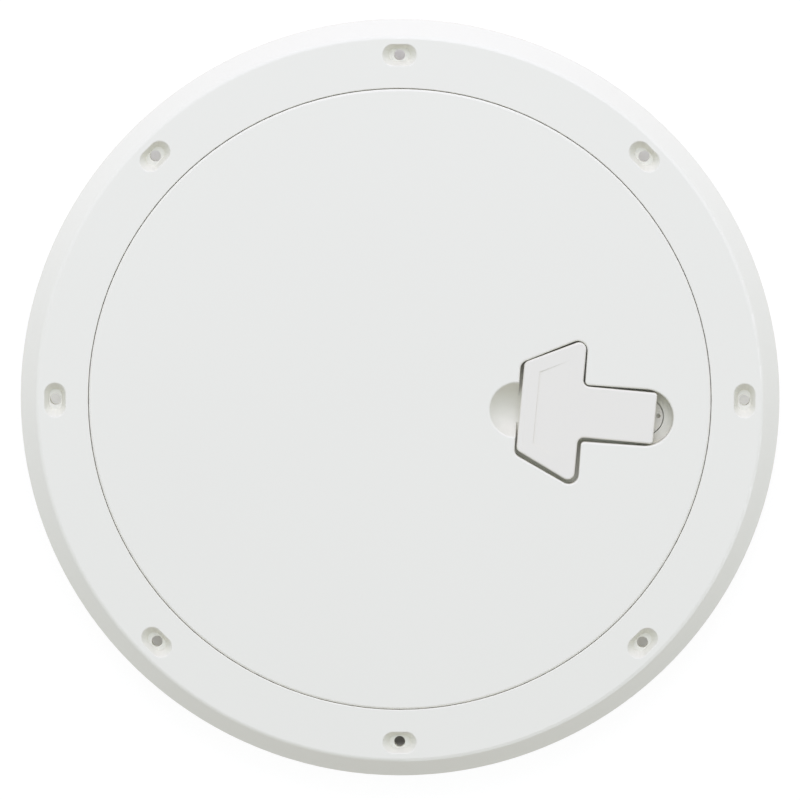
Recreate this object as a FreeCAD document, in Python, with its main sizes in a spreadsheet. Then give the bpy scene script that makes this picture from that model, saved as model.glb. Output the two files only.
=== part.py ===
import FreeCAD, Part
import math
import os
import re

import Sketcher

# Deck inspection plate: a round flanged frame that is let into a deck, with a flush lift-out
# lid, a T handle that folds down into the lid, and a quarter-turn latch under it.
# Millimetres, +Z up. The origin is the frame's centre on the deck, so the flange stands above
# z = 0 and the spigot hangs below it.

doc = FreeCAD.newDocument("deck_inspection_plate")

# Driving dimensions
SIZES = [
    ("opening_radius", 141.0, "clear opening inside the ledge"),
    ("ledge_width", 12.7, "ledge, from the opening to the seat's wall"),
    ("flange_width", 33.8, "flange, from the seat's wall to its outer edge"),
    ("flange_height", 10.0, "flange and lid top above the deck"),
    ("lip_height", 1.8, "upright edge below the bevel"),
    ("bevel_width", 8.7, "bevel, seen from above"),
    ("flange_skin", 3.5, "wall of the hollow flange"),
    ("rim_land", 4.5, "flat land under the outer edge"),
    ("inner_land", 3.5, "flat land beside the spigot"),
    ("rib_wall", 2.0, "thickness of every stiffening rib"),
    ("flange_ribs", 24, "ribs under the flange"),
    ("flange_rib_foot", 0.5, "flange ribs stop this far above the deck"),
    ("spigot_wall", 3.8, "wall of the spigot"),
    ("spigot_depth", 24.0, "spigot below the deck"),
    ("spigot_lead", 1.0, "lead-in chamfer at the foot of the spigot"),
    ("seat_depth", 13.0, "ledge below the flange top"),
    ("ledge_thickness", 4.0, "ledge that carries the seal"),
    ("ledge_round", 1.0, "round on the ledge's inner edges"),
    ("bevel_round", 2.5, "round where the bevel meets the top"),
    ("edge_round", 0.5, "round on the small edges of the frame"),
    ("screw_inset", 17.5, "flange's outer edge to the deck screws"),
    ("screw_count", 8, "deck screws"),
    ("screw_hole_radius", 2.7, "hole for one deck screw"),
    ("screw_slot_half", 3.2, "half the straight side of a screw recess at the top"),
    ("screw_floor_half", 2.0, "half the straight side of a screw recess at its floor"),
    ("screw_recess_radius", 5.3, "end radius of a screw recess at the top"),
    ("screw_floor_radius", 3.1, "end radius of a screw recess at its floor"),
    ("screw_recess_depth", 5.0, "depth of a screw recess"),
    ("screw_recess_round", 0.5, "round on the rim of a screw recess"),
    ("screw_boss_wall", 2.2, "wall round a screw recess"),
    ("lid_gap", 0.3, "gap round the lid"),
    ("lid_plate", 3.0, "top plate of the lid"),
    ("lid_edge_round", 1.2, "round on the lid's top edge"),
    ("skirt_wall", 2.6, "skirt round the lid"),
    ("skirt_gap", 0.7, "skirt above the top of the seal"),
    ("ring_gap", 0.7, "locating ring inside the opening"),
    ("ring_wall", 3.0, "wall of the locating ring"),
    ("ring_drop", 16.0, "locating ring below the lid's top"),
    ("lid_rib_drop", 8.0, "lid ribs below the lid's top"),
    ("lid_ribs", 12, "spokes under the lid"),
    ("lid_hub_radius", 12.0, "boss where the spokes meet"),
    ("inner_hoop_radius", 48.0, "inner stiffening hoop"),
    ("outer_hoop_radius", 96.0, "outer stiffening hoop"),
    ("seal_inset", 2.2, "seal from the opening's edge"),
    ("seal_width", 6.0, "width of the seal"),
    ("seal_height", 4.5, "height of the seal"),
    ("seal_groove", 1.2, "depth of the seal's groove"),
    ("groove_gap", 0.2, "groove wider than the seal on each side"),
    ("press_width", 2.4, "rib that presses on the seal"),
    ("hook_angle", 6.0, "length of one hook, in degrees"),
    ("hook_spread", 9.0, "hooks each side of the middle, in degrees"),
    ("hook_reach", 2.6, "hook past the opening's edge"),
    ("hook_slack", 3.0, "hook below the ledge"),
    ("hook_foot", 3.0, "thickness of a hook's foot"),
    ("lid_clock", -4.0, "turn of the lid in the frame, in degrees"),
    ("latch_inset", 19.8, "spindle's axis from the opening's edge"),
    ("latch_turn", -1.3, "turn of the handle and spindle in the lid, in degrees"),
    ("recess_depth", 8.6, "handle recess below the lid's top"),
    ("recess_gap", 1.3, "gap round the handle"),
    ("recess_round", 1.0, "round on the recess rim"),
    ("housing_wall", 2.5, "walls and floor of the recess"),
    ("head_inner", 61.6, "spindle to the handle's finger edge"),
    ("head_outer", 31.85, "spindle to the near side of the head"),
    ("head_end_half", 21.8, "half the length of the finger edge"),
    ("head_slant", 25.8, "slant of the head's ends, in degrees"),
    ("head_inner_round", 2.9, "corners at the finger edge"),
    ("head_tip_round", 3.5, "corners at the head's tips"),
    ("neck_round", 3.2, "inside corners where the stem leaves the head"),
    ("stem_half", 12.7, "half the width of the stem"),
    ("stem_corner_round", 1.6, "corners at the stem's end"),
    ("handle_lift", 0.35, "handle above the recess floor"),
    ("handle_edge_round", 1.0, "round on the handle's top edge"),
    ("handle_wall", 2.6, "walls of the hollow handle"),
    ("web_foot", 1.0, "webs in the handle's head above its lower face"),
    ("finger_band", 3.0, "sloping band along the finger edge"),
    ("finger_drop", 0.6, "fall of that band"),
    ("finger_bevel", 3.0, "bevel under the finger edge"),
    ("panel_margin", 7.0, "sunk panel from the head's slanted ends"),
    ("panel_inset", 7.8, "sunk panel from the finger edge"),
    ("panel_length", 15.0, "sunk panel towards the stem"),
    ("panel_depth", 0.45, "depth of the panel at its finger side"),
    ("scoop_reach", 63.0, "spindle to the middle of the finger scoop"),
    ("scoop_side", 0.7, "middle of the scoop beside the recess's middle line"),
    ("scoop_radius", 13.6, "finger scoop, seen from above"),
    ("scoop_depth", 10.2, "depth of the finger scoop"),
    ("scoop_wall", 1.6, "wall of the finger scoop"),
    ("disc_radius", 9.1, "spindle's disc in the recess floor"),
    ("disc_gap", 0.45, "gap round that disc"),
    ("disc_thickness", 3.2, "thickness of that disc"),
    ("dimple_radius", 1.1, "dimple beside the handle's end"),
    ("dimple_offset", 6.8, "dimple past the spindle's axis"),
    ("dimple_side", 0.9, "dimple beside the handle's middle line"),
    ("dimple_depth", 2.2, "depth of the dimple"),
    ("journal_radius", 6.0, "spindle where it turns in the lid"),
    ("bore_gap", 0.1, "lid's bore larger than the journal"),
    ("square_side", 7.8, "square end of the spindle"),
    ("square_gap", 0.1, "cam's hole larger than the square, each side"),
    ("square_short", 0.3, "square ends inside the cam"),
    ("oring_groove_depth", 1.8, "depth of the O-ring groove"),
    ("oring_groove_width", 2.2, "width of the O-ring groove"),
    ("oring_slack", 0.05, "O-ring clear of groove and bore"),
    ("pin_radius", 1.25, "hinge pin"),
    ("pin_short", 0.6, "hinge pin ends inside the stem"),
    ("pin_offset", 1.5, "hinge pin past the spindle's axis"),
    ("pin_height", 5.0, "hinge pin above the recess floor"),
    ("pin_gap", 0.06, "lug's eye larger than the pin"),
    ("lug_radius", 2.3, "rounded head of the hinge lug"),
    ("lug_neck", 2.0, "half the thickness of the lug's neck"),
    ("lug_half", 5.0, "half the width of the lug"),
    ("lug_gap", 0.3, "handle's slot round the lug"),
    ("cam_gap", 0.2, "cam below the ledge"),
    ("cam_thickness", 5.0, "thickness of the cam"),
    ("cam_radius", 8.5, "rounded ends of the cam"),
    ("cam_bite", 10.2, "cam's tip past the opening's edge when it is turned to the ledge"),
    ("cam_ramp", 1.5, "ramp round the cam's upper edge"),
    ("thrust_radius", 10.5, "thrust washer"),
    ("thrust_thickness", 0.8, "thickness of the thrust washer"),
    ("cam_washer_radius", 7.5, "flat washer under the cam"),
    ("cam_washer_thickness", 1.2, "thickness of the flat washer"),
    ("lock_washer_radius", 4.6, "split lock washer"),
    ("lock_washer_thickness", 1.3, "thickness of the lock washer"),
    ("lock_split", 0.9, "split in the lock washer"),
    ("screw_radius", 2.45, "cam screw's shank"),
    ("screw_hole_gap", 0.05, "holes larger than the shank"),
    ("screw_bite", 7.0, "cam screw inside the spindle"),
    ("thread_run_out", 0.7, "threaded hole past the screw's end"),
    ("screw_head_radius", 4.6, "cam screw's head"),
    ("screw_head_height", 3.2, "height of that head"),
    ("screw_head_round", 1.2, "round on that head"),
    ("cross_width", 1.1, "slots of the screw's cross recess"),
    ("cross_length", 5.0, "length of those slots"),
    ("cross_depth", 1.8, "depth of those slots"),
]

sheet = doc.addObject("Spreadsheet::Sheet", "Sizes")
for row, (alias, number, meaning) in enumerate(SIZES, start=1):
    sheet.set(f"A{row}", meaning)
    sheet.set(f"B{row}", str(number))
    sheet.setAlias(f"B{row}", alias)
doc.recompute()
ALIASES = {alias for alias, number, meaning in SIZES}

# Features that join run this far into each other, and cuts run this far past the faces they leave
OVERLAP = 0.5
RUN_OUT = 1
LEAST_CUT = 0.01

# Heights and radii that several pieces share, as formulas of the sheet's cells
SEAT_RADIUS = "(opening_radius + ledge_width)"
FLANGE_RADIUS = "(opening_radius + ledge_width + flange_width)"
SPIGOT_RADIUS = "(opening_radius + ledge_width + spigot_wall)"
SCREW_CIRCLE = f"({FLANGE_RADIUS} - screw_inset)"
LID_RADIUS = f"({SEAT_RADIUS} - lid_gap)"
LATCH_RADIUS = "(opening_radius - latch_inset)"
LEDGE_TOP = "(flange_height - seat_depth)"
LEDGE_UNDER = "(flange_height - seat_depth - ledge_thickness)"
GROOVE_FLOOR = "(flange_height - seat_depth - seal_groove)"
SEAL_TOP = "(flange_height - seat_depth - seal_groove + seal_height)"
SEAL_INNER = "(opening_radius + seal_inset)"
SEAL_MIDDLE = f"({SEAL_INNER} + seal_width / 2)"
PLATE_UNDER = "(flange_height - lid_plate)"
RING_RADIUS = "(opening_radius - ring_gap)"
RING_FOOT = "(flange_height - ring_drop)"
RIB_FOOT = "(flange_height - lid_rib_drop)"
RECESS_FLOOR = "(flange_height - recess_depth)"
DISC_SEAT = f"({RECESS_FLOOR} - disc_thickness)"
CAM_TOP = f"({LEDGE_UNDER} - cam_gap)"
BOSS_FOOT = f"({CAM_TOP} + thrust_thickness)"
CAM_FOOT = f"({CAM_TOP} - cam_thickness)"
CAM_TIP = "(latch_inset + cam_bite - cam_radius)"
WASHER_FOOT = f"({CAM_FOOT} - cam_washer_thickness)"
LOCK_FOOT = f"({WASHER_FOOT} - lock_washer_thickness)"
PIN_Z = f"({RECESS_FLOOR} + pin_height)"
HANDLE_FOOT = f"({RECESS_FLOOR} + handle_lift)"

# The stem's end stays inside a circle about the hinge pin that clears the recess floor
NOSE_RADIUS = "(pin_height - handle_lift)"
PIN_COVER = "(recess_depth - pin_height)"
STEM_END = (
    f"(pin_offset + handle_edge_round + sqrt(pow({NOSE_RADIUS} - handle_edge_round; 2)"
    f" - pow({PIN_COVER} - handle_edge_round; 2)))"
)


def spelled(formula):
    """The formula with the sheet's name in front of each alias."""
    def name_cell(word):
        return "Sizes." + word.group() if word.group() in ALIASES else word.group()
    return re.sub(r"[a-z_]\w*", name_cell, formula)


def size(formula):
    """The number that a formula of the sheet's cells gives."""
    return float(sheet.evalExpression(spelled(formula)))


def bind(item, setting, formula):
    item.setExpression(setting, spelled(formula))


def new_body(label):
    body = doc.addObject("PartDesign::Body", label)
    body.Label = label
    return body


def origin_item(body, role):
    return next(item for item in body.Origin.OriginFeatures if item.Role == role)


def attach(item, body, plane, lift="0"):
    """Puts a sketch or a primitive on one of the body's planes, raised by a formula."""
    item.AttachmentSupport = [(origin_item(body, plane), "")]
    item.MapMode = "FlatFace"
    if lift != "0":
        bind(item, ".AttachmentOffset.Base.z", lift)


def new_sketch(body, name, plane, lift="0"):
    sketch = body.newObject("Sketcher::SketchObject", name)
    attach(sketch, body, plane, lift)
    return sketch


def tip_sketch(sketch, angle):
    """Turns a sketch about its own Y axis by a formula."""
    upright = FreeCAD.Rotation(FreeCAD.Vector(0, 1, 0), 1)
    sketch.AttachmentOffset = FreeCAD.Placement(FreeCAD.Vector(0, 0, 0), upright)
    bind(sketch, ".AttachmentOffset.Rotation.Angle", angle)


def set_point(sketch, curve, end, x, y):
    """Ties one point of a sketch to two formulas."""
    for kind, formula in (("DistanceX", x), ("DistanceY", y)):
        rule = Sketcher.Constraint(kind, -1, 1, curve, end, size(formula))
        bind(sketch, f"Constraints[{sketch.addConstraint(rule)}]", formula)


def set_radius(sketch, curve, radius):
    rule = Sketcher.Constraint("Radius", curve, size(radius))
    bind(sketch, f"Constraints[{sketch.addConstraint(rule)}]", radius)


def corner_arc(before, corner, after, radius):
    """The arc that rounds a corner, and whether the outline turns left there."""
    into = (before - corner).normalize()
    out = (after - corner).normalize()
    half_angle = into.getAngle(out) / 2
    centre = corner + (into + out).normalize() * (radius / math.sin(half_angle))
    ends = [corner + side * (radius / math.tan(half_angle)) for side in (into, out)]
    turns_left = into.cross(out).z < 0
    if not turns_left:
        ends.reverse()
    angles = [math.atan2(end.y - centre.y, end.x - centre.x) for end in ends]
    if angles[1] < angles[0]:
        angles[1] += 2 * math.pi
    circle = Part.Circle(centre, FreeCAD.Vector(0, 0, 1), radius)
    return Part.ArcOfCircle(circle, angles[0], angles[1]), turns_left


def polygon(body, name, plane, corners, lift="0"):
    """A closed outline through corners given as formulas: x, y and, for a round corner, radius."""
    sketch = new_sketch(body, name, plane, lift)
    spots = [FreeCAD.Vector(size(corner[0]), size(corner[1]), 0) for corner in corners]
    rounds = [corner[2] if len(corner) == 3 else "0" for corner in corners]
    count = len(corners)
    for index in range(count):
        sketch.addGeometry(Part.LineSegment(spots[index], spots[(index + 1) % count]), False)
    for index, radius in enumerate(rounds):
        last = (index - 1) % count
        if near(size(radius), 0):
            sketch.addConstraint(Sketcher.Constraint("Coincident", last, 2, index, 1))
            set_point(sketch, index, 1, corners[index][0], corners[index][1])
            continue
        arc, turns_left = corner_arc(spots[last], spots[index], spots[(index + 1) % count],
                                     size(radius))
        first_end, second_end = (1, 2) if turns_left else (2, 1)
        curve = sketch.addGeometry(arc, False)
        tip = sketch.addGeometry(Part.Point(spots[index]), True)
        set_point(sketch, tip, 1, corners[index][0], corners[index][1])
        sketch.addConstraint(Sketcher.Constraint("PointOnObject", tip, 1, last))
        sketch.addConstraint(Sketcher.Constraint("PointOnObject", tip, 1, index))
        sketch.addConstraint(Sketcher.Constraint("Tangent", last, 2, curve, first_end))
        sketch.addConstraint(Sketcher.Constraint("Tangent", index, 1, curve, second_end))
        set_radius(sketch, curve, radius)
    return sketch


def oblong(body, name, half_x, half_y, lift):
    """A rectangle about the body's Z axis, on the XY plane."""
    return polygon(body, name, "XY_Plane", [
        (half_x, half_y), (mirrored(half_x), half_y), (mirrored(half_x), mirrored(half_y)),
        (half_x, mirrored(half_y)),
    ], lift=lift)


def circles(body, name, radii, x="0", y="0", plane="XY_Plane", lift="0"):
    """Circles about one centre: one radius makes a disc, two make a ring."""
    sketch = new_sketch(body, name, plane, lift)
    for index, radius in enumerate(radii):
        centre = FreeCAD.Vector(size(x), size(y), 0)
        sketch.addGeometry(Part.Circle(centre, FreeCAD.Vector(0, 0, 1), size(radius)), False)
        set_point(sketch, index, 3, x, y)
        set_radius(sketch, index, radius)
    return sketch


def slot(body, name, x, low, high, radius, lift="0"):
    """A slot with round ends along Y: centres at low and high, on the XY plane."""
    sketch = new_sketch(body, name, "XY_Plane", lift)
    across = size(radius)
    ends = [FreeCAD.Vector(size(x), size(high), 0), FreeCAD.Vector(size(x), size(low), 0)]
    side = FreeCAD.Vector(across, 0, 0)
    up = FreeCAD.Vector(0, 0, 1)
    sketch.addGeometry(Part.ArcOfCircle(Part.Circle(ends[0], up, across), 0, math.pi), False)
    sketch.addGeometry(Part.LineSegment(ends[0] - side, ends[1] - side), False)
    sketch.addGeometry(
        Part.ArcOfCircle(Part.Circle(ends[1], up, across), math.pi, 2 * math.pi), False
    )
    sketch.addGeometry(Part.LineSegment(ends[1] + side, ends[0] + side), False)
    for first in range(4):
        sketch.addConstraint(Sketcher.Constraint("Tangent", first, 2, (first + 1) % 4, 1))
    sketch.addConstraint(Sketcher.Constraint("Equal", 0, 2))
    set_radius(sketch, 0, radius)
    set_point(sketch, 0, 3, x, high)
    set_point(sketch, 2, 3, x, low)
    return sketch


def extrude(body, kind, name, sketch, length, reverse=False, middle=False):
    feature = body.newObject(f"PartDesign::{kind}", name)
    feature.Profile = sketch
    feature.Length = size(length)
    bind(feature, "Length", length)
    feature.Reversed = reverse
    feature.Midplane = middle
    doc.recompute()
    return feature


def pad(body, name, sketch, length, reverse=False, middle=False):
    return extrude(body, "Pad", name, sketch, length, reverse, middle)


def check_cut(body, feature, before):
    """Stops if a cut has removed nothing."""
    if feature.Shape.Volume > before - LEAST_CUT:
        raise RuntimeError(f"{body.Label}: {feature.Name} cuts nothing")


def pocket(body, name, sketch, length, reverse=False, middle=False):
    before = body.Shape.Volume
    feature = extrude(body, "Pocket", name, sketch, length, reverse, middle)
    check_cut(body, feature, before)
    return feature


def revolve(body, name, sketch, angle="360"):
    feature = body.newObject("PartDesign::Revolution", name)
    feature.Profile = sketch
    feature.ReferenceAxis = (sketch, ["V_Axis"])
    bind(feature, "Angle", angle)
    feature.Midplane = angle != "360"
    doc.recompute()
    return feature


def post(body, name, foot, radius, height, x="0"):
    """A round post along Z from its foot upward."""
    sketch = circles(body, f"{name}_circle", [radius], x=x, lift=foot)
    return pad(body, name, sketch, height)


def bore(body, name, foot, radius, height, x="0", y="0"):
    """A round hole along Z from its foot upward."""
    sketch = circles(body, f"{name}_circle", [radius], x=x, y=y, lift=foot)
    return pocket(body, name, sketch, height, reverse=True)


def ball(body, kind, name, radius, rise, centre):
    """A ball about a centre, added or cut up to a latitude given in degrees."""
    before = body.Shape.Volume
    feature = body.newObject(f"PartDesign::{kind}", name)
    attach(feature, body, "XY_Plane")
    for axis, formula in zip("xyz", centre):
        bind(feature, f".AttachmentOffset.Base.{axis}", formula)
    bind(feature, "Radius", radius)
    bind(feature, "Angle2", rise)
    doc.recompute()
    if kind == "SubtractiveSphere":
        check_cut(body, feature, before)
    return feature


def around(body, name, originals, count):
    """Repeats features evenly about the body's Z axis."""
    feature = body.newObject("PartDesign::PolarPattern", name)
    feature.Originals = originals
    feature.Axis = (origin_item(body, "Z_Axis"), [""])
    feature.Angle = 360
    bind(feature, "Occurrences", count)
    body.Tip = feature
    doc.recompute()
    return feature


def dress(body, kind, name, base, edges, setting, formula):
    """A fillet or chamfer on the named edges of the feature below it."""
    if not edges:
        raise RuntimeError(f"{body.Label}: {name} finds no edge")
    feature = body.newObject(f"PartDesign::{kind}", name)
    feature.Base = (base, edges)
    bind(feature, setting, formula)
    doc.recompute()
    return feature


def fillet(body, name, base, edges, radius):
    return dress(body, "Fillet", name, base, edges, "Radius", radius)


def chamfer(body, name, base, edges, width):
    return dress(body, "Chamfer", name, base, edges, "Size", width)


def edges_where(feature, test):
    """Names of the edges of a feature that pass a test."""
    return [f"Edge{index}" for index, edge in enumerate(feature.Shape.Edges, start=1) if test(edge)]


def near(one, other, slack=0.01):
    return abs(one - other) < slack


def ring_edges(feature, radius, height):
    """Edges on a circle about the Z axis with this radius, at this height."""
    def test(edge):
        return all(
            near(math.hypot(end.Point.x, end.Point.y), size(radius)) and near(end.Point.z, size(height))
            for end in edge.Vertexes
        ) and near(edge.BoundBox.ZLength, 0)
    return edges_where(feature, test)


def place_at_latch(body):
    """Turns a piece with the lid and the latch and puts its origin on the spindle's axis."""
    bind(body, ".Placement.Rotation.Angle", "(lid_clock + latch_turn) * 1 deg")
    bind(body, ".Placement.Base.x", f"{LATCH_RADIUS} * cos(lid_clock * 1 deg)")
    bind(body, ".Placement.Base.y", f"{LATCH_RADIUS} * sin(lid_clock * 1 deg)")


def mirrored(formula):
    return f"0 - ({formula})"


def tee_corners(grow, end, shift="0", end_round="0"):
    """The handle's T, grown outward by a formula, with rounds that stay parallel.

    The T lies along X with its head on the -X side of the spindle. The corners come in turn:
    finger edge, tip, neck and stem end on the +Y side, then the same four back on the -Y side.
    """
    slope = "tan(head_slant * 1 deg)"
    stretch = f"({grow}) / cos(head_slant * 1 deg)"
    finger_x = f"{shift} - head_inner - ({grow})"
    tip_x = f"{shift} - head_outer + ({grow})"
    finger_y = f"head_end_half - ({grow}) * {slope} + {stretch}"
    tip_y = f"head_end_half + (head_inner - head_outer + ({grow})) * {slope} + {stretch}"
    stem_y = f"stem_half + ({grow})"
    neck_radius = f"max(0; neck_round - ({grow}))"
    upper = [
        (finger_x, finger_y, f"head_inner_round + ({grow})"),
        (tip_x, tip_y, f"head_tip_round + ({grow})"),
        (tip_x, stem_y, neck_radius),
        (f"{shift} + {end}", stem_y, end_round),
    ]
    return upper + [(x, mirrored(y), radius) for x, y, radius in reversed(upper)]


def make_frame():
    """The flanged frame: bevelled flange, seat wall, ledge with seal groove, and spigot."""
    body = new_body("frame")
    groove_in = f"{SEAL_INNER} - groove_gap"
    groove_out = f"{SEAL_INNER} + seal_width + groove_gap"
    bevel_top = f"{FLANGE_RADIUS} - bevel_width"
    ceiling = "flange_height - flange_skin"
    channel_in = f"{SPIGOT_RADIUS} + inner_land"
    channel_out = f"{FLANGE_RADIUS} - rim_land"
    bevel_slope = "(flange_height - lip_height) / bevel_width"
    channel_low = f"lip_height + rim_land * {bevel_slope} - flange_skin"
    section = polygon(body, "frame_section", "XZ_Plane", [
        (FLANGE_RADIUS, "0"), (FLANGE_RADIUS, "lip_height"), (bevel_top, "flange_height"),
        (SEAT_RADIUS, "flange_height"), (SEAT_RADIUS, LEDGE_TOP),
        (groove_out, LEDGE_TOP), (groove_out, GROOVE_FLOOR),
        (groove_in, GROOVE_FLOOR), (groove_in, LEDGE_TOP),
        ("opening_radius", LEDGE_TOP), ("opening_radius", LEDGE_UNDER),
        (SEAT_RADIUS, LEDGE_UNDER), (SEAT_RADIUS, "0 - spigot_depth"),
        (SPIGOT_RADIUS, "0 - spigot_depth"), (SPIGOT_RADIUS, "0"), (channel_in, "0"),
        (channel_in, ceiling), (bevel_top, ceiling), (channel_out, channel_low),
        (channel_out, "0"),
    ])
    feature = revolve(body, "frame_ring", section)

    rounds = [
        ("bevel_top_round", bevel_top, "flange_height", "bevel_round"),
        ("bevel_foot_round", FLANGE_RADIUS, "lip_height", "edge_round"),
        ("seat_edge_round", SEAT_RADIUS, "flange_height", "edge_round"),
        ("ledge_upper_round", "opening_radius", LEDGE_TOP, "ledge_round"),
        ("ledge_lower_round", "opening_radius", LEDGE_UNDER, "ledge_round"),
    ]
    for name, radius, height, round_size in rounds:
        edges = ring_edges(feature, radius, height)
        feature = fillet(body, name, feature, edges, round_size)
    edges = ring_edges(feature, SPIGOT_RADIUS, "0 - spigot_depth")
    feature = chamfer(body, "spigot_lead_in", feature, edges, "spigot_lead")

    # Ribs across the hollow of the flange, clear of the screw bosses
    rib_section = polygon(body, "flange_rib_section", "XZ_Plane", [
        (f"{channel_in} - {OVERLAP}", "flange_rib_foot"),
        (f"{channel_in} - {OVERLAP}", f"{ceiling} + {OVERLAP}"),
        (bevel_top, f"{ceiling} + {OVERLAP}"),
        (f"{channel_out} + {OVERLAP}", f"{channel_low} + {OVERLAP}"),
        (f"{channel_out} + {OVERLAP}", "flange_rib_foot"),
    ])
    tip_sketch(rib_section, "180 deg / flange_ribs")
    rib = pad(body, "flange_rib", rib_section, "rib_wall", middle=True)
    feature = around(body, "flange_rib_circle", [rib], "flange_ribs")

    # Boss, tapered recess and hole of one deck screw, repeated on the pitch circle
    low = "0 - screw_slot_half"
    high = "screw_slot_half"
    boss_radius = "screw_recess_radius + screw_boss_wall"
    boss_sketch = slot(body, "screw_boss_outline", SCREW_CIRCLE, low, high, boss_radius)
    boss = pad(body, "screw_boss", boss_sketch, f"{ceiling} + {OVERLAP}")
    mouth = slot(body, "screw_recess_mouth", SCREW_CIRCLE, low, high, "screw_recess_radius",
                 lift="flange_height")
    floor = slot(body, "screw_recess_floor", SCREW_CIRCLE, "0 - screw_floor_half",
                 "screw_floor_half", "screw_floor_radius",
                 lift="flange_height - screw_recess_depth")
    before = body.Shape.Volume
    recess = body.newObject("PartDesign::SubtractiveLoft", "screw_recess")
    recess.Profile = mouth
    recess.Sections = [floor]
    recess.Ruled = True
    doc.recompute()
    check_cut(body, recess, before)
    hole = bore(body, "screw_hole", f"0 - {OVERLAP}", "screw_hole_radius", "flange_height",
                x=SCREW_CIRCLE)
    feature = around(body, "deck_screw_circle", [boss, recess, hole], "screw_count")

    def on_screw_rim(edge):
        box = edge.BoundBox
        at_top = near(box.ZMin, size("flange_height")) and near(box.ZLength, 0)
        reach = size(boss_radius)
        return at_top and all(
            near(math.hypot(end.X, end.Y), size(SCREW_CIRCLE), reach) for end in edge.Vertexes
        )
    fillet(body, "screw_rim", feature, edges_where(feature, on_screw_rim), "screw_recess_round")
    return body


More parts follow.
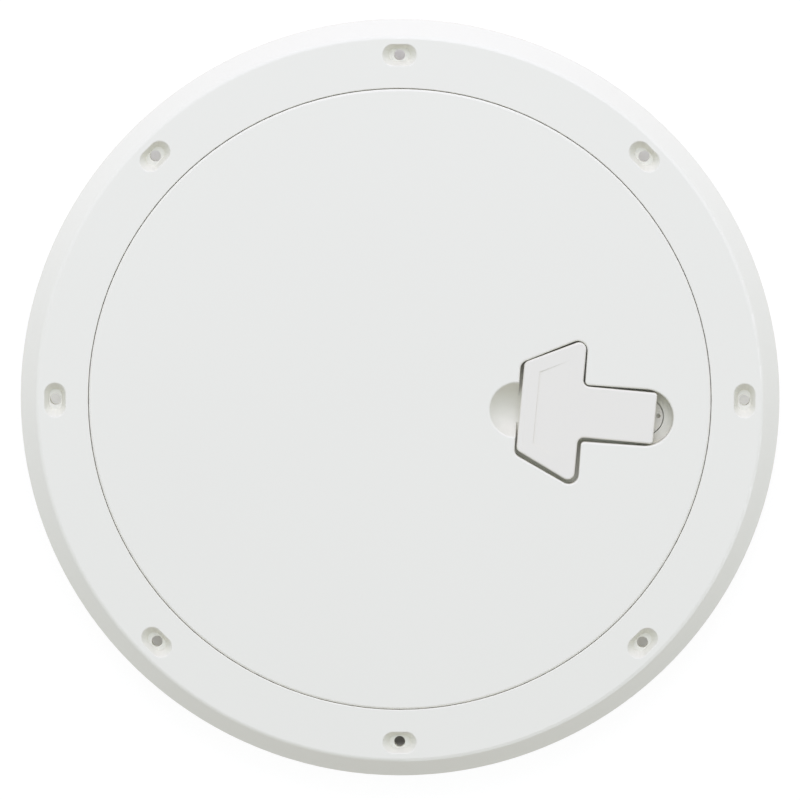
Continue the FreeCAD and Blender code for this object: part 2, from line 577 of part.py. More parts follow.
def make_lid():
    """The lid: ribbed plate with skirt, seal rib, locating ring, hooks and handle recess."""
    body = new_body("lid")
    skirt_in = f"{LID_RADIUS} - skirt_wall"
    skirt_foot = f"{SEAL_TOP} + skirt_gap"
    press_in = f"{SEAL_MIDDLE} - press_width / 2"
    press_out = f"{SEAL_MIDDLE} + press_width / 2"
    ring_in = f"{RING_RADIUS} - ring_wall"
    section = polygon(body, "lid_section", "XZ_Plane", [
        ("0", "flange_height"), (LID_RADIUS, "flange_height"), (LID_RADIUS, skirt_foot),
        (skirt_in, skirt_foot), (skirt_in, PLATE_UNDER), (press_out, PLATE_UNDER),
        (press_out, SEAL_TOP), (press_in, SEAL_TOP), (press_in, PLATE_UNDER),
        (RING_RADIUS, PLATE_UNDER), (RING_RADIUS, RING_FOOT), (ring_in, RING_FOOT),
        (ring_in, PLATE_UNDER), ("0", PLATE_UNDER),
    ])
    feature = revolve(body, "lid_plate", section)
    edges = ring_edges(feature, LID_RADIUS, "flange_height")
    feature = fillet(body, "lid_edge", feature, edges, "lid_edge_round")

    # Spokes, hoops and the boss where the spokes meet
    rib_top = f"{PLATE_UNDER} + {OVERLAP}"
    spoke_sketch = polygon(body, "spoke_section", "XZ_Plane", [
        ("lid_hub_radius / 2", RIB_FOOT), (f"{ring_in} + {OVERLAP}", RIB_FOOT),
        (f"{ring_in} + {OVERLAP}", rib_top), ("lid_hub_radius / 2", rib_top),
    ])
    spoke = pad(body, "spoke", spoke_sketch, "rib_wall", middle=True)
    around(body, "spokes", [spoke], "lid_ribs")
    hoops = (("inner_hoop", "inner_hoop_radius"), ("outer_hoop", "outer_hoop_radius"))
    for name, radius in hoops:
        hoop_in = f"{radius} - rib_wall / 2"
        hoop_out = f"{radius} + rib_wall / 2"
        hoop_sketch = polygon(body, f"{name}_section", "XZ_Plane", [
            (hoop_in, RIB_FOOT), (hoop_out, RIB_FOOT), (hoop_out, rib_top), (hoop_in, rib_top),
        ])
        revolve(body, name, hoop_sketch)
    post(body, "hub", RIB_FOOT, "lid_hub_radius", f"{rib_top} - {RIB_FOOT}")

    # Two hooks that reach under the ledge on the side away from the latch
    hook_out = "opening_radius + hook_reach"
    hook_top = f"{LEDGE_UNDER} - hook_slack"
    hook_foot = f"{LEDGE_UNDER} - hook_slack - hook_foot"
    hook_sketch = polygon(body, "hook_section", "XZ_Plane", [
        (mirrored(ring_in), f"{RING_FOOT} + {OVERLAP}"), (mirrored(ring_in), hook_foot),
        (mirrored(hook_out), hook_foot), (mirrored(hook_out), hook_top),
        (mirrored(RING_RADIUS), hook_top), (mirrored(RING_RADIUS), f"{RING_FOOT} + {OVERLAP}"),
    ])
    tip_sketch(hook_sketch, "hook_spread * 1 deg")
    hook = revolve(body, "hook", hook_sketch, "hook_angle")
    pair = body.newObject("PartDesign::Mirrored", "hook_pair")
    pair.Originals = [hook]
    pair.MirrorPlane = (origin_item(body, "XZ_Plane"), [""])
    body.Tip = pair
    doc.recompute()

    # Housing under the plate for the handle recess, the scoop and the spindle
    housing_grow = "recess_gap + housing_wall"
    housing_foot = f"{RECESS_FLOOR} - housing_wall"
    housing_height = f"{rib_top} - ({housing_foot})"
    corners = tee_corners(housing_grow, "0", LATCH_RADIUS)
    sketch = polygon(body, "housing_outline", "XY_Plane", corners, lift=housing_foot)
    pad(body, "housing", sketch, housing_height)
    post(body, "housing_end", housing_foot, f"stem_half + {housing_grow}", housing_height,
         x=LATCH_RADIUS)
    post(body, "spindle_boss", BOSS_FOOT, "disc_radius + disc_gap + housing_wall",
         f"{RECESS_FLOOR} - {BOSS_FOOT}", x=LATCH_RADIUS)
    bowl = "((pow(scoop_radius; 2) + pow(scoop_depth; 2)) / (2 * scoop_depth))"
    bowl_z = f"flange_height - scoop_depth + {bowl}"
    bowl_centre = (f"{LATCH_RADIUS} - scoop_reach", "0 - scoop_side", bowl_z)
    shell = f"({bowl} + scoop_wall)"
    shell_rise = f"asin(({rib_top} - ({bowl_z})) / {shell})"
    ball(body, "AdditiveSphere", "scoop_shell", shell, shell_rise, bowl_centre)

    # Recess for the handle, round end, scoop, and the seat and bore of the spindle
    corners = tee_corners("recess_gap", "0", LATCH_RADIUS)
    sketch = polygon(body, "recess_outline", "XY_Plane", corners, lift="flange_height")
    pocket(body, "recess", sketch, "recess_depth")
    bore(body, "recess_end", RECESS_FLOOR, "stem_half + recess_gap", f"recess_depth + {RUN_OUT}",
         x=LATCH_RADIUS)
    feature = ball(body, "SubtractiveSphere", "scoop", bowl, "90 deg", bowl_centre)

    def on_recess_rim(edge):
        box = edge.BoundBox
        at_top = near(box.ZMin, size("flange_height")) and near(box.ZLength, 0)
        return at_top and box.XMin > 0
    edges = edges_where(feature, on_recess_rim)
    fillet(body, "recess_rim", feature, edges, "recess_round")
    bore(body, "spindle_seat", DISC_SEAT, "disc_radius + disc_gap",
         f"disc_thickness + {RUN_OUT}", x=LATCH_RADIUS)
    bore(body, "spindle_bore", f"{BOSS_FOOT} - {RUN_OUT}", "journal_radius + bore_gap",
         f"{RECESS_FLOOR} - {BOSS_FOOT}", x=LATCH_RADIUS)
    bind(body, ".Placement.Rotation.Angle", "lid_clock * 1 deg")
    return body


def make_lid_seal():
    """The flat rubber ring in the ledge's groove."""
    body = new_body("lid_seal")
    sketch = circles(body, "seal_rings", [f"{SEAL_INNER} + seal_width", SEAL_INNER],
                     lift=GROOVE_FLOOR)
    pad(body, "seal", sketch, "seal_height")
    return body


def make_handle():
    """The hollow T handle: rounded nose, slot for the hinge lug, and a sunk panel."""
    body = new_body("handle")
    corners = tee_corners("0", STEM_END, end_round="stem_corner_round")
    sketch = polygon(body, "tee_outline", "XY_Plane", corners, lift=HANDLE_FOOT)
    pad(body, "tee", sketch, f"flange_height - {HANDLE_FOOT}")

    # The lower end of the stem is rounded about the hinge pin
    wide = "4 * stem_half"
    sketch = new_sketch(body, "nose_outline", "XZ_Plane")
    hub = FreeCAD.Vector(size("pin_offset"), size(PIN_Z), 0)
    nose = size(NOSE_RADIUS)
    arc = Part.ArcOfCircle(Part.Circle(hub, FreeCAD.Vector(0, 0, 1), nose), -math.pi / 2, 0)
    sketch.addGeometry(arc, False)
    outer_x = f"pin_offset + {NOSE_RADIUS} + {RUN_OUT}"
    lower_z = f"{HANDLE_FOOT} - {RUN_OUT}"
    path = [(outer_x, PIN_Z), (outer_x, lower_z), ("pin_offset", lower_z)]
    spots = [arc.EndPoint] + [FreeCAD.Vector(size(x), size(z), 0) for x, z in path]
    spots.append(arc.StartPoint)
    for start, end in zip(spots, spots[1:]):
        sketch.addGeometry(Part.LineSegment(start, end), False)
    for first in range(4):
        sketch.addConstraint(Sketcher.Constraint("Coincident", first, 2, first + 1, 1))
    sketch.addConstraint(Sketcher.Constraint("Coincident", 4, 2, 0, 1))
    set_point(sketch, 0, 3, "pin_offset", PIN_Z)
    set_radius(sketch, 0, NOSE_RADIUS)
    for curve, (x, z) in enumerate(path, start=1):
        set_point(sketch, curve, 2, x, z)
    sketch.addConstraint(Sketcher.Constraint("Horizontal", 1))
    sketch.addConstraint(Sketcher.Constraint("Vertical", 4))
    pocket(body, "nose", sketch, wide, middle=True)

    # A sloping band on top of the finger edge and a bevel below it
    finger_x = "0 - head_inner"
    outside = f"{finger_x} - {RUN_OUT}"
    above = f"flange_height + {RUN_OUT}"
    below = f"{HANDLE_FOOT} - {RUN_OUT}"
    band_fall = f"finger_drop * (finger_band + {RUN_OUT}) / finger_band"
    sketch = polygon(body, "finger_band_outline", "XZ_Plane", [
        (f"{finger_x} + finger_band", "flange_height"), (outside, f"flange_height - {band_fall}"),
        (outside, above), (f"{finger_x} + finger_band", above),
    ])
    pocket(body, "finger_band", sketch, wide, middle=True)
    sketch = polygon(body, "finger_bevel_outline", "XZ_Plane", [
        (f"{finger_x} + finger_bevel", HANDLE_FOOT),
        (outside, f"{HANDLE_FOOT} + finger_bevel + {RUN_OUT}"),
        (outside, below), (f"{finger_x} + finger_bevel", below),
    ])
    feature = pocket(body, "finger_bevel", sketch, wide, middle=True)

    def on_top_rim(edge):
        box = edge.BoundBox
        high = box.ZMin > size("flange_height - finger_drop") - LEAST_CUT
        crease = near(box.XMin, size(f"{finger_x} + finger_band")) and near(box.XLength, 0)
        return high and not crease
    edges = edges_where(feature, on_top_rim)
    fillet(body, "top_rim", feature, edges, "handle_edge_round")

    # Slot for the hinge lug, open below and at the stem's end, and the pin's hole
    slot_left = "pin_offset - lug_radius - lug_gap"
    slot_right = f"{STEM_END} + {RUN_OUT}"
    slot_top = f"{PIN_Z} + lug_radius + lug_gap"
    sketch = polygon(body, "lug_slot_outline", "XZ_Plane", [
        (slot_left, below), (slot_right, below), (slot_right, slot_top), (slot_left, slot_top),
    ])
    pocket(body, "lug_slot", sketch, "2 * (lug_half + lug_gap)", middle=True)
    sketch = circles(body, "pin_hole_outline", ["pin_radius"], x="pin_offset", y=PIN_Z,
                     plane="XZ_Plane")
    pocket(body, "pin_hole", sketch, wide, middle=True)

    # Hollows under the head and the stem, with a cross wall between them
    hollow_depth = f"flange_height - handle_wall - {HANDLE_FOOT}"
    wall = "handle_wall"
    head = tee_corners(f"0 - {wall}", "0")
    finger_wall = f"{head[0][0]} + finger_bevel"
    finger_y = f"{head[0][1]} + finger_bevel * tan(head_slant * 1 deg)"
    sketch = polygon(body, "head_hollow_outline", "XY_Plane", [
        (finger_wall, finger_y), head[1], head[6], (finger_wall, mirrored(finger_y)),
    ], lift=HANDLE_FOOT)
    pocket(body, "head_hollow", sketch, hollow_depth, reverse=True)
    stem_in = f"0 - head_outer + {wall}"
    stem_out = f"{slot_left} - {wall}"
    side = f"stem_half - {wall}"
    sketch = polygon(body, "stem_hollow_outline", "XY_Plane", [
        (stem_in, side), (stem_in, mirrored(side)), (stem_out, mirrored(side)), (stem_out, side),
    ], lift=HANDLE_FOOT)
    pocket(body, "stem_hollow", sketch, hollow_depth, reverse=True)

    # Two webs across the head's hollow, in line with the stem's sides
    web_start = f"{finger_wall} - {OVERLAP}"
    web_end = f"{head[1][0]} + {OVERLAP}"
    for name, turn in (("upper_web", 1), ("lower_web", -1)):
        web_low = f"{turn} * stem_half - rib_wall / 2"
        web_high = f"{turn} * stem_half + rib_wall / 2"
        sketch = polygon(body, f"{name}_outline", "XY_Plane", [
            (web_start, web_low), (web_end, web_low), (web_end, web_high), (web_start, web_high),
        ], lift=f"{HANDLE_FOOT} + web_foot")
        pad(body, name, sketch, f"{hollow_depth} - web_foot + {OVERLAP}")

    # The sunk panel on the head is deepest beside the finger edge and runs out to nothing
    panel_x = f"{finger_x} + panel_inset"
    panel_end = f"{panel_x} + panel_length"
    slope = "tan(head_slant * 1 deg)"
    margin = "panel_margin / cos(head_slant * 1 deg)"
    panel_low = f"head_end_half + panel_inset * {slope} - {margin}"
    panel_high = f"head_end_half + (panel_inset + panel_length) * {slope} - {margin}"
    sketch = polygon(body, "panel_outline", "XY_Plane", [
        (panel_x, panel_low), (panel_end, panel_high),
        (panel_end, mirrored(panel_high)), (panel_x, mirrored(panel_low)),
    ])
    tilt = "atan(panel_depth / panel_length)"
    # The sketch plane turns about Y and passes through the panel's far end at the top face
    tip_sketch(sketch, f"0 deg - {tilt}")
    bind(sketch, ".AttachmentOffset.Base.z", f"flange_height - ({panel_end}) * tan({tilt})")
    pocket(body, "panel", sketch, f"panel_depth + {RUN_OUT}", reverse=True)
    place_at_latch(body)
    return body


def make_hinge_pin():
    """The plain pin that the handle folds on."""
    body = new_body("hinge_pin")
    sketch = circles(body, "pin_section", ["pin_radius"], x="pin_offset", y=PIN_Z,
                     plane="XZ_Plane")
    pad(body, "pin", sketch, "2 * (stem_half - pin_short)", middle=True)
    place_at_latch(body)
    return body


def make_spindle():
    """The latch spindle: disc in the recess floor, hinge lug above, journal and square below."""
    body = new_body("spindle")
    groove = "journal_radius - oring_groove_depth"
    middle = f"(({DISC_SEAT} + {BOSS_FOOT}) / 2)"
    groove_top = f"{middle} + oring_groove_width / 2"
    groove_foot = f"{middle} - oring_groove_width / 2"
    section = polygon(body, "spindle_section", "XZ_Plane", [
        ("0", RECESS_FLOOR), ("disc_radius", RECESS_FLOOR), ("disc_radius", DISC_SEAT),
        ("journal_radius", DISC_SEAT), ("journal_radius", groove_top), (groove, groove_top),
        (groove, groove_foot), ("journal_radius", groove_foot), ("journal_radius", CAM_TOP),
        ("0", CAM_TOP),
    ])
    revolve(body, "turned_body", section)
    half = "square_side / 2"
    sketch = oblong(body, "square_outline", half, half, f"{CAM_FOOT} + square_short")
    pad(body, "square_end", sketch, f"cam_thickness - square_short + {OVERLAP}")
    sketch = circles(body, "lug_head_outline", ["lug_radius"], x="pin_offset", y=PIN_Z,
                     plane="XZ_Plane")
    pad(body, "lug_head", sketch, "2 * lug_half", middle=True)
    sketch = polygon(body, "lug_neck_outline", "XZ_Plane", [
        ("pin_offset - lug_neck", f"{RECESS_FLOOR} - {OVERLAP}"),
        ("pin_offset + lug_neck", f"{RECESS_FLOOR} - {OVERLAP}"),
        ("pin_offset + lug_neck", PIN_Z), ("pin_offset - lug_neck", PIN_Z),
    ])
    pad(body, "lug_neck", sketch, "2 * lug_half", middle=True)
    sketch = circles(body, "eye_outline", ["pin_radius + pin_gap"], x="pin_offset", y=PIN_Z,
                     plane="XZ_Plane")
    pocket(body, "eye", sketch, "4 * lug_half", middle=True)
    bore(body, "dimple", f"{RECESS_FLOOR} - dimple_depth", "dimple_radius",
         f"dimple_depth + {RUN_OUT}", x="dimple_offset", y="dimple_side")
    bore(body, "screw_thread", CAM_FOOT, "screw_radius + screw_hole_gap",
         "square_short + screw_bite + thread_run_out")
    place_at_latch(body)
    return body


def make_spindle_o_ring():
    """The O-ring that keeps water out of the spindle's bore."""
    ring = doc.addObject("Part::Torus", "spindle_o_ring")
    ring.Label = "spindle_o_ring"
    inner = "(journal_radius - oring_groove_depth)"
    outer = "(journal_radius + bore_gap)"
    bind(ring, "Radius1", f"({inner} + {outer}) / 2")
    bind(ring, "Radius2", f"({outer} - {inner}) / 2 - oring_slack")
    bind(ring, ".Placement.Base.z", f"({DISC_SEAT} + {BOSS_FOOT}) / 2")
    place_at_latch(ring)
    return ring


def make_washer(label, foot, thickness, outer, inner):
    """A flat washer on the spindle's axis."""
    body = new_body(label)
    sketch = circles(body, f"{label}_rings", [outer, inner], lift=foot)
    pad(body, f"{label}_plate", sketch, thickness)
    place_at_latch(body)
    return body


def make_lock_washer():
    """The split spring washer under the screw's head."""
    body = make_washer("lock_washer", LOCK_FOOT, "lock_washer_thickness",
                       "lock_washer_radius", "screw_radius + screw_hole_gap")
    lean = "lock_washer_thickness / 2"
    across = "lock_split / 2"
    sketch = polygon(body, "split_outline", "XZ_Plane", [
        (f"0 - {lean} - {across}", LOCK_FOOT), (f"{across} - {lean}", LOCK_FOOT),
        (f"{lean} + {across}", WASHER_FOOT), (f"{lean} - {across}", WASHER_FOOT),
    ])
    pocket(body, "split", sketch, f"lock_washer_radius + {RUN_OUT}")
    return body


def make_cam():
    """The latch's cam: a bar with round ends, a square hole and a ramp on its upper edge."""
    body = new_body("cam")
    sketch = slot(body, "cam_outline", "0", "0", CAM_TIP, "cam_radius", lift=CAM_FOOT)
    feature = pad(body, "cam_bar", sketch, "cam_thickness")

    def on_tip(edge):
        box = edge.BoundBox
        at_top = near(box.ZMin, size(CAM_TOP)) and near(box.ZLength, 0)
        return at_top and box.YMin > size(CAM_TIP) - LEAST_CUT
    edges = edges_where(feature, on_tip)
    chamfer(body, "ramp", feature, edges, "cam_ramp")
    half = "square_side / 2 + square_gap"
    sketch = oblong(body, "square_hole_outline", half, half, CAM_TOP)
    pocket(body, "square_hole", sketch, f"cam_thickness + {RUN_OUT}")
    place_at_latch(body)
    return body


def make_cam_screw():
    """The screw that holds the cam: pan head with a cross recess, facing down."""
    body = new_body("cam_screw")
    feature = post(body, "screw_head", f"{LOCK_FOOT} - screw_head_height", "screw_head_radius",
                   "screw_head_height")
    edges = ring_edges(feature, "screw_head_radius", f"{LOCK_FOOT} - screw_head_height")
    fillet(body, "pan", feature, edges, "screw_head_round")
    shank = f"{CAM_FOOT} + square_short + screw_bite - {LOCK_FOOT}"
    post(body, "shank", LOCK_FOOT, "screw_radius", shank)
    half_long = "cross_length / 2"
    half_wide = "cross_width / 2"
    for name, x, y in (("cross_one", half_long, half_wide), ("cross_two", half_wide, half_long)):
        sketch = oblong(body, f"{name}_outline", x, y, f"{LOCK_FOOT} - screw_head_height")
        pocket(body, name, sketch, "cross_depth", reverse=True)
    place_at_latch(body)
    return body


pieces = [
    make_frame(),
    make_lid(),
    make_lid_seal(),
    make_handle(),
    make_hinge_pin(),
    make_spindle(),
    make_spindle_o_ring(),
    make_washer("thrust_washer", CAM_TOP, "thrust_thickness", "thrust_radius",
                "journal_radius + bore_gap"),
    make_cam(),
    make_washer("cam_washer", WASHER_FOOT, "cam_washer_thickness", "cam_washer_radius",
                "screw_radius + screw_hole_gap"),
    make_lock_washer(),
    make_cam_screw(),
]
doc.recompute()

for item in doc.Objects:
    if "Invalid" in item.State or "Error" in item.State:
        raise RuntimeError(f"{item.Name} has failed")
for piece in pieces:
    if piece.Shape.isNull() or not piece.Shape.isValid():
        raise RuntimeError(f"{piece.Label} has no valid shape")

os.makedirs("parts", exist_ok=True)
for piece in pieces:
    piece.Shape.exportStep(f"parts/{piece.Label}.step")
    box = piece.Shape.BoundBox
    print(f"{piece.Label}: {len(piece.Shape.Solids)} solid, {piece.Shape.Volume:.1f} mm3, "
          f"z {box.ZMin:.2f} to {box.ZMax:.2f}")
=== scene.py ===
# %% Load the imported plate
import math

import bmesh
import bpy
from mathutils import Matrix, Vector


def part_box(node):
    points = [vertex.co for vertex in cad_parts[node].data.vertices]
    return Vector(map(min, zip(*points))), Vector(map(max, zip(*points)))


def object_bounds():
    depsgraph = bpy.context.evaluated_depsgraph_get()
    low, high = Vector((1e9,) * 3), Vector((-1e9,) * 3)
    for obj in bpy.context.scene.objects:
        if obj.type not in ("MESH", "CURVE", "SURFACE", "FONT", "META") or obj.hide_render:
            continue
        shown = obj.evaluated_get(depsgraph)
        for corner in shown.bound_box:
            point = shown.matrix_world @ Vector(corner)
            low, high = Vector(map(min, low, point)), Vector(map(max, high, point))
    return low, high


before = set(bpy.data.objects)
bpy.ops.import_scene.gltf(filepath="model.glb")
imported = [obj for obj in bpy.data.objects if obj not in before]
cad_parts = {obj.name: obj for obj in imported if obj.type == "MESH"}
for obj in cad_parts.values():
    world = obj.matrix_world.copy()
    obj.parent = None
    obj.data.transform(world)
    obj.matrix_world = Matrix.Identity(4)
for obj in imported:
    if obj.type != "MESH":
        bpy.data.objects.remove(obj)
cad_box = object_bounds()

# %% [markdown]
# The object is a round inspection plate for a boat's deck. A flanged frame is screwed to the
# deck, and a flush lid with a fold-down T handle closes it. The CAD model above gives every
# piece its real shape and place, in metres, with the deck at z = 0 and +Z pointing out of the
# deck. What is left to do here is what makes it look real: the finish of each material, a plain
# studio, and a camera in the place from which the photograph was taken.

floor_height = cad_box[0].z
flange_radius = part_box("frame")[1].x
lid_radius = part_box("lid")[1].x
lid_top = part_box("lid")[1].z
washer_low, washer_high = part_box("thrust_washer")
spindle_axis = (washer_low + washer_high) / 2
print("flange radius", round(flange_radius, 4), "and lid radius", round(lid_radius, 4))
print("lid top at", round(lid_top, 4), "and floor at", round(floor_height, 4))
print("spindle axis at", [round(value, 4) for value in spindle_axis])

# %% [markdown]
# Materials are built from nodes, and the same few nodes come back in all of them. Writing each
# one out with its links would bury what a material does. So each kind gets a small function,
# which takes numbers or sockets and returns a socket, and they can be chained like ordinary
# functions. The first ones make an empty node group and a step of arithmetic.

# %% Helpers for groups and arithmetic
def new_group(name, inputs, outputs):
    """An empty shader group with named sockets, and its input and output nodes."""
    group = bpy.data.node_groups.new(name, "ShaderNodeTree")
    for label, kind, value in inputs:
        socket = group.interface.new_socket(label, in_out="INPUT", socket_type=kind)
        socket.default_value = value
    for label, kind in outputs:
        group.interface.new_socket(label, in_out="OUTPUT", socket_type=kind)
    return group, group.nodes.new("NodeGroupInput"), group.nodes.new("NodeGroupOutput")


def feed(tree, socket, value):
    """Gives an input socket a number, or links another node's output to it."""
    if isinstance(value, (int, float)):
        socket.default_value = value
    else:
        tree.links.new(value, socket)


def math_node(tree, operation, *operands):
    """A Math node: each operand is a number or a socket."""
    node = tree.nodes.new("ShaderNodeMath")
    node.operation = operation
    for socket, value in zip(node.inputs, operands):
        feed(tree, socket, value)
    return node.outputs[0]


print("group and arithmetic helpers ready")

# %% [markdown]
# A finish that changes over the surface needs a place to read, a pattern there, and a way to
# put the pattern on a colour. The place is the Object coordinate, because it rides with the
# piece: the grain stays where it is when the lid tips or the handle folds.

# %% Helpers for place and pattern
def object_place(tree):
    """The point's own coordinates, which ride with the piece."""
    return tree.nodes.new("ShaderNodeTexCoord").outputs["Object"]


def scaled(tree, vector, factor):
    """A colour or vector times the value of a socket."""
    node = tree.nodes.new("ShaderNodeVectorMath")
    node.operation = "SCALE"
    tree.links.new(vector, node.inputs[0])
    tree.links.new(factor, node.inputs["Scale"])
    return node.outputs[0]


def noise_node(tree, vector, scale, detail):
    """Noise along a vector, at a scale that is a number or a socket."""
    node = tree.nodes.new("ShaderNodeTexNoise")
    node.inputs["Detail"].default_value = detail
    tree.links.new(vector, node.inputs["Vector"])
    feed(tree, node.inputs["Scale"], scale)
    return node.outputs["Fac"]


print("noise, scale and place helpers ready")

# %% [markdown]
# The first finish is the white moulding. A real deck plate is made of a UV-stable white plastic
# in a spark-eroded mould, so its skin is satin, with a grain that can just be felt. Two things
# keep such a plain white from looking like a flat colour: a very faint change of tone across
# the part, from the flow of the plastic, and the fine grain, which breaks up the highlights.
# Several materials need tone and grain, each with its own values, so they are built once as
# a node group. It only puts out values that change over the surface. The shader stays outside.

# %% The moulded skin
FLOW_SCALE = 7.0
HANDLED_SCALE = 35.0
GRAIN_HEIGHT = 0.00006


def make_skin_group():
    """Tone and grain of a moulded or cast skin."""
    group, given, result = new_group(
        "moulded_skin",
        [("Colour", "NodeSocketColor", (0.8, 0.8, 0.8, 1)), ("Tone", "NodeSocketFloat", 0.02),
         ("Roughness", "NodeSocketFloat", 0.4), ("Polish", "NodeSocketFloat", 0.05),
         ("Grain Scale", "NodeSocketFloat", 2500.0), ("Grain Depth", "NodeSocketFloat", 0.1)],
        [("Colour", "NodeSocketColor"), ("Roughness", "NodeSocketFloat"),
         ("Normal", "NodeSocketVector")])
    place = object_place(group)
    flow = noise_node(group, place, FLOW_SCALE, detail=3.0)
    handled = noise_node(group, place, HANDLED_SCALE, detail=4.0)
    grain = noise_node(group, place, given.outputs["Grain Scale"], detail=2.0)

    # Tone: one, plus or minus the share that is asked for
    swing = math_node(group, "SUBTRACT", flow, 0.5)
    share = math_node(group, "MULTIPLY", swing, given.outputs["Tone"])
    level = math_node(group, "ADD", share, 1.0)
    group.links.new(scaled(group, given.outputs["Colour"], level), result.inputs["Colour"])

    # Roughness: handled patches are a little smoother than the rest
    patch = math_node(group, "SUBTRACT", handled, 0.5)
    gloss = math_node(group, "MULTIPLY", patch, given.outputs["Polish"])
    rough = math_node(group, "ADD", gloss, given.outputs["Roughness"])
    group.links.new(rough, result.inputs["Roughness"])

    bump = group.nodes.new("ShaderNodeBump")
    bump.inputs["Distance"].default_value = GRAIN_HEIGHT
    group.links.new(given.outputs["Grain Depth"], bump.inputs["Strength"])
    group.links.new(grain, bump.inputs["Height"])
    group.links.new(bump.outputs["Normal"], result.inputs["Normal"])
    return group


skin_group = make_skin_group()
print("group", skin_group.name, "with", len(skin_group.nodes), "nodes")

# %% [markdown]
# Every moulded or rubber piece now takes the same few steps: a material, its Principled shader,
# and the group in front of it. Values that are the same all over, such as the index of
# refraction, are set on the shader itself.
#
# The white needs care. In the photograph the flat faces are a neutral white, but every deep
# corner is olive. Paint would not do that: light that has bounced between cream walls does, as
# each bounce takes away some blue. So the white is written a little cream here, and the
# daylight further down a little blue. They cancel on open faces, and the cream shows in the
# recesses. The handle and the spindle are moulded apart from the lid, in a slightly duller
# white. The specular level is low, because the grain of a satin mould scatters most reflections.

# %% Materials for the white mouldings, the nylon and the rubber
WHITE = (0.745, 0.727, 0.61)
LATCH_WHITE = (0.727, 0.700, 0.59)
NYLON_BLACK = (0.028, 0.028, 0.03)
RUBBER_BLACK = (0.022, 0.022, 0.023)


def new_material(name):
    """A material with nodes, its node tree and its Principled shader."""
    material = bpy.data.materials.new(name)
    material.use_nodes = True
    return material, material.node_tree, material.node_tree.nodes["Principled BSDF"]


def skin_material(name, colour, tone, roughness, polish, grain_scale, grain_depth):
    """A material with the moulded skin in front of its shader."""
    material, tree, shader = new_material(name)
    skin = tree.nodes.new("ShaderNodeGroup")
    skin.name = "skin"
    skin.node_tree = skin_group
    values = {"Colour": (*colour, 1), "Tone": tone, "Roughness": roughness, "Polish": polish,
              "Grain Scale": grain_scale, "Grain Depth": grain_depth}
    for label, value in values.items():
        skin.inputs[label].default_value = value
    tree.links.new(skin.outputs["Colour"], shader.inputs["Base Color"])
    tree.links.new(skin.outputs["Roughness"], shader.inputs["Roughness"])
    tree.links.new(skin.outputs["Normal"], shader.inputs["Normal"])
    return material, shader


def white_material(name, colour):
    """A satin white moulding."""
    material, shader = skin_material(
        name, colour, tone=0.02, roughness=0.47, polish=0.08, grain_scale=2400.0, grain_depth=0.35)
    shader.inputs["IOR"].default_value = 1.5
    shader.inputs["Specular IOR Level"].default_value = 0.25
    return material


white_moulding = white_material("white_moulding", WHITE)
latch_moulding = white_material("latch_moulding", LATCH_WHITE)
latch_nylon, nylon_shader = skin_material(
    "latch_nylon", NYLON_BLACK, tone=0.3, roughness=0.5, polish=0.15, grain_scale=1800.0,
    grain_depth=0.5)
nylon_shader.inputs["IOR"].default_value = 1.53
seal_rubber, rubber_shader = skin_material(
    "seal_rubber", RUBBER_BLACK, tone=0.35, roughness=0.72, polish=0.12, grain_scale=1500.0,
    grain_depth=0.7)
rubber_shader.inputs["Specular IOR Level"].default_value = 0.35
print("white is written as", WHITE, "and the latch's white as", LATCH_WHITE)

# %% [markdown]
# The seam and the steel need to know where on the plate a point is. Its height is the Z of its
# coordinates, and its distance from the axis follows from X and Y. A Map Range node turns such
# a distance into a step from nought to one, and a Color Ramp turns the step into a colour. A
# hard step would show as a line, so all of them are smooth.

# %% Helpers for a place on the plate
def split(tree, vector):
    """The three parts of a vector, by name."""
    parts = tree.nodes.new("ShaderNodeSeparateXYZ")
    tree.links.new(vector, parts.inputs["Vector"])
    return parts.outputs


def from_z_axis(tree, parts):
    """How far a point lies from the Z axis."""
    squares = [math_node(tree, "POWER", parts[name], 2.0) for name in ("X", "Y")]
    return math_node(tree, "SQRT", math_node(tree, "ADD", *squares))


def fade_node(tree, value, nought_at, one_at):
    """Goes smoothly from nought to one between two values of a socket."""
    fade = tree.nodes.new("ShaderNodeMapRange")
    fade.interpolation_type = "SMOOTHSTEP"
    fade.inputs["From Min"].default_value = nought_at
    fade.inputs["From Max"].default_value = one_at
    tree.links.new(value, fade.inputs["Value"])
    return fade.outputs["Result"]


def two_colours(tree, share, first, second):
    """Goes from the first colour to the second as a share goes from nought to one."""
    ramp = tree.nodes.new("ShaderNodeValToRGB")
    ramp.color_ramp.elements[0].color = first
    ramp.color_ramp.elements[1].color = second
    tree.links.new(share, ramp.inputs["Fac"])
    return ramp.outputs["Color"]


print("distance, fade and colour helpers ready")

# %% [markdown]
# Only a hairline of the seam between lid and frame shows, and on the real plate it is a soft
# grey and not a black line. Light gets through the thin white rims and bounces on between the
# walls. Subsurface scattering could do that, but it takes twice as long and turns the open faces
# yellow. So painted light stands in for it: the moulding is written paler on the two walls of the
# seam, from just below their rounded edges to a few millimetres down, so that the shade in the
# seam comes out lighter and each bounce there keeps more of its light. Deeper down the colour is
# the usual one again: a tipped lid turns its wall to the open light, where so pale a colour would
# look burnt out. Where the walls are is told by two distances, one from the plate's axis and one
# down from the lid's top.

# %% Painted light on the walls of the seam
# Painted light: a paler colour on the seam's walls lightens the shade there
SEAM_PAINTED_LIGHT_COLOUR = (0.93, 0.905, 0.81)
# In each pair the fade is at nought at the first distance and at one at the second
SEAM_REACH = (0.0016, 0.0010)
SEAM_START = (0.00025, 0.0006)
SEAM_END = (0.0035, 0.0020)


